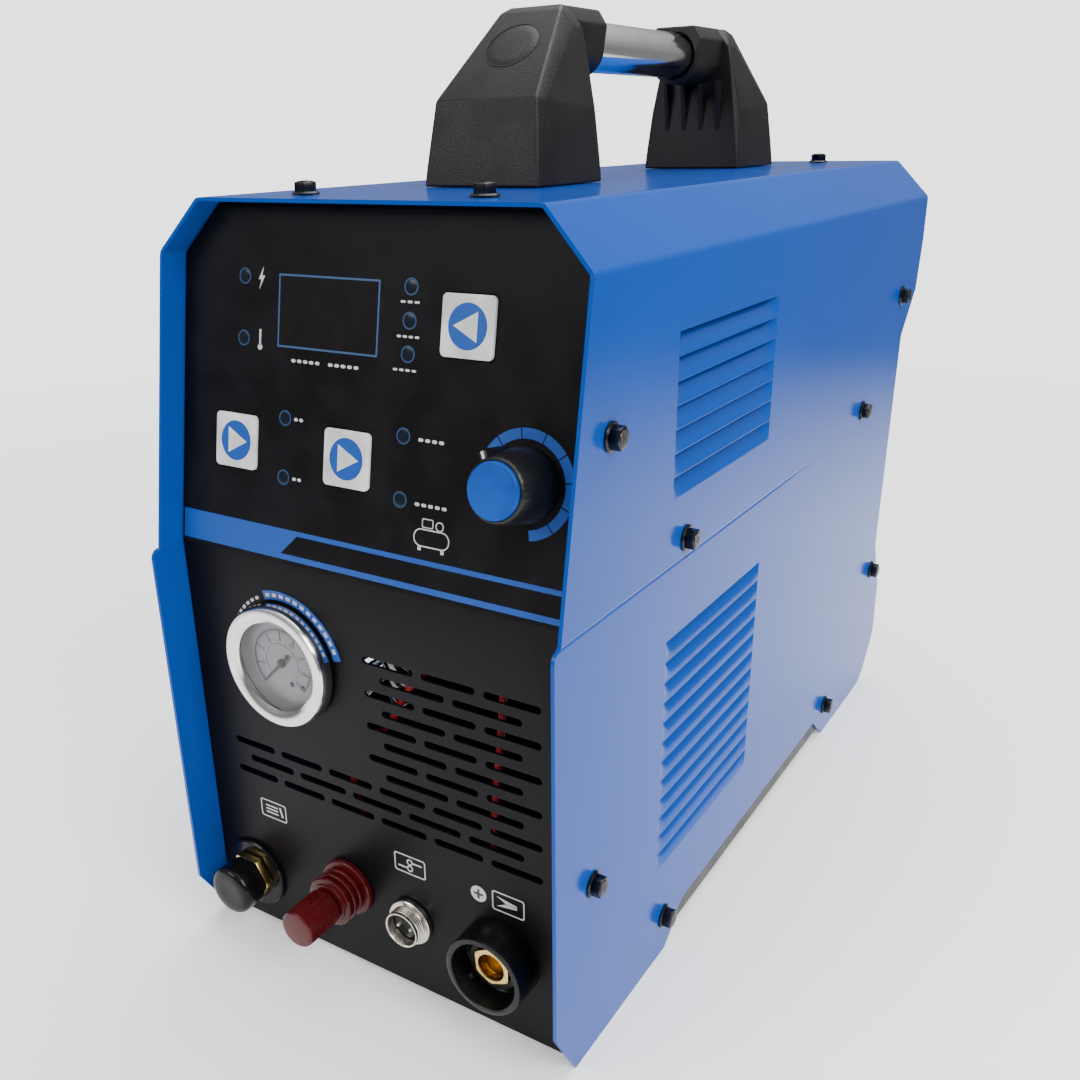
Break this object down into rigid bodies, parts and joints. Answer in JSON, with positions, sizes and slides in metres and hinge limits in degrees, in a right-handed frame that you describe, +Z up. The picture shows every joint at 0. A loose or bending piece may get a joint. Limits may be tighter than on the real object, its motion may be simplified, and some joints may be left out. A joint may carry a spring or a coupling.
{
  "type": "plasma cutter",
  "caption": "Portable plasma cutter with built-in air compressor: chamfered sheet-metal casing, control face, air gauge, front connectors and bar handle.",
  "frame": {"origin": "centre of the bounding box in X and Y, on the floor plane under the feet", "axes": "+X to the right of someone facing the controls, +Y from the front to the back, +Z up"},
  "size_m": [0.2108, 0.484, 0.4128],
  "materials": {
    "blue_paint": "glossy royal blue paint",
    "black_powder_coat": "satin black powder coat",
    "zinc_sheet": "zinc-plated sheet",
    "black_plastic": "fine-grained black",
    "black_rubber": "smooth black",
    "printed_film": "satin printed film",
    "white_key": "white with a printed arrow",
    "smoked_window": "glossy smoked",
    "circuit_board": "green solder mask",
    "black_oxide_steel": "black oxide",
    "polished_aluminium": "polished",
    "bright_plate": "bright plated",
    "nickel_plate": "satin nickel",
    "brass": "machined",
    "red_plastic": "deep red moulding",
    "blue_plastic": "blue moulding",
    "silver_dial": "silver dial with printed scale",
    "clear_lens": "clear",
    "cast_aluminium": "as cast",
    "grey_plastic": "grey moulding",
    "ferrite": "wound core"
  },
  "bodies": {
    "casing": {"case_cover": "blue_paint", "front_panel": "black_powder_coat", "rear_panel": "black_powder_coat", "base_pan": "zinc_sheet", "deck_plate": "zinc_sheet", "handle_front_support": "black_plastic", "handle_rear_support": "black_plastic", "handle_front_plug": "black_plastic", "handle_rear_plug": "black_plastic", "display_module": "black_plastic", "control_socket_insert": "black_plastic", "work_socket_shell": "black_plastic", "fan_frame": "black_plastic", "power_switch_body": "black_plastic", "cord_gland": "black_plastic", "torch_flange": "black_rubber", "fascia_film": "printed_film", "display_window": "smoked_window", "control_board": "circuit_board", "power_board": "circuit_board", "compressor_motor": "black_oxide_steel", "top_screw_front_left": "black_oxide_steel", "top_screw_front_right": "black_oxide_steel", "top_screw_rear_left": "black_oxide_steel", "top_screw_rear_right": "black_oxide_steel", "left_screw_front_upper": "black_oxide_steel", "left_screw_front_lower": "black_oxide_steel", "left_screw_rear_upper": "black_oxide_steel", "left_screw_rear_lower": "black_oxide_steel", "right_screw_front_upper": "black_oxide_steel", "right_screw_front_lower": "black_oxide_steel", "right_screw_rear_upper": "black_oxide_steel", "right_screw_rear_lower": "black_oxide_steel", "handle_tube": "polished_aluminium", "heat_sink": "polished_aluminium", "gauge_case": "bright_plate", "potentiometer_body": "nickel_plate", "control_socket_shell": "nickel_plate", "torch_fitting": "brass", "work_socket_insert": "brass", "air_inlet": "brass", "solenoid_valve": "brass", "pilot_post": "red_plastic", "gauge_dial": "silver_dial", "gauge_lens": "clear_lens", "compressor_pump": "cast_aluminium", "air_regulator": "grey_plastic", "transformer": "ferrite"},
    "current_knob": {"current_knob": "black_plastic", "knob_cap": "blue_plastic", "potentiometer_shaft": "nickel_plate"},
    "mode_key": {"mode_key": "white_key"},
    "source_key": {"source_key": "white_key"},
    "select_key": {"select_key": "white_key"},
    "gauge_needle": {"gauge_needle": "black_plastic"},
    "torch_cap": {"torch_cap": "black_rubber"},
    "pilot_knob": {"pilot_knob": "red_plastic"},
    "power_switch_rocker": {"power_switch_rocker": "black_plastic"},
    "fan_impeller": {"fan_impeller": "black_plastic"},
    "compressor_rotor": {"compressor_rotor": "grey_plastic"}
  },
  "joints": [
    {"name": "current_knob_turn", "type": "hinge", "parent": "casing", "child": "current_knob", "pos_m": [0.074, -0.20132, 0.24634], "axis": [0, 0.9874, -0.158], "range_deg": [-105, 165]},
    {"name": "mode_key_press", "type": "slide", "parent": "casing", "child": "mode_key", "axis": [0, 0.9874, -0.158], "range_m": [0, 0.0004], "stiffness_N_per_m": 1500, "springref_m": -0.0003},
    {"name": "source_key_press", "type": "slide", "parent": "casing", "child": "source_key", "axis": [0, 0.9874, -0.158], "range_m": [0, 0.0004], "stiffness_N_per_m": 1500, "springref_m": -0.0003},
    {"name": "select_key_press", "type": "slide", "parent": "casing", "child": "select_key", "axis": [0, 0.9874, -0.158], "range_m": [0, 0.0004], "stiffness_N_per_m": 1500, "springref_m": -0.0003},
    {"name": "gauge_needle_swing", "type": "hinge", "parent": "casing", "child": "gauge_needle", "pos_m": [-0.043, -0.2082, 0.15081], "axis": [0, 0.9998, 0.022], "range_deg": [0, 270], "stiffness_Nm_per_rad": 0.0001, "springref_deg": -28.65},
    {"name": "torch_cap_pull", "type": "slide", "parent": "casing", "child": "torch_cap", "axis": [0, -0.9998, -0.022], "range_m": [0, 0.02]},
    {"name": "pilot_knob_turn", "type": "hinge", "parent": "casing", "child": "pilot_knob", "pos_m": [-0.0175, -0.20584, 0.0435], "axis": [0, -0.9998, -0.022], "range_deg": [0, 720]},
    {"name": "power_switch_tip", "type": "hinge", "parent": "casing", "child": "power_switch_rocker", "pos_m": [0.052, 0.20652, 0.112], "axis": [1, 0, 0], "range_deg": [-24, 0]},
    {"name": "fan_spin", "type": "hinge", "parent": "casing", "child": "fan_impeller", "pos_m": [0, 0.17972, 0.261], "axis": [0, 1, 0], "continuous": true},
    {"name": "compressor_spin", "type": "hinge", "parent": "casing", "child": "compressor_rotor", "pos_m": [0.02, 0.11972, 0.0668], "axis": [0, 1, 0], "continuous": true}
  ]
}
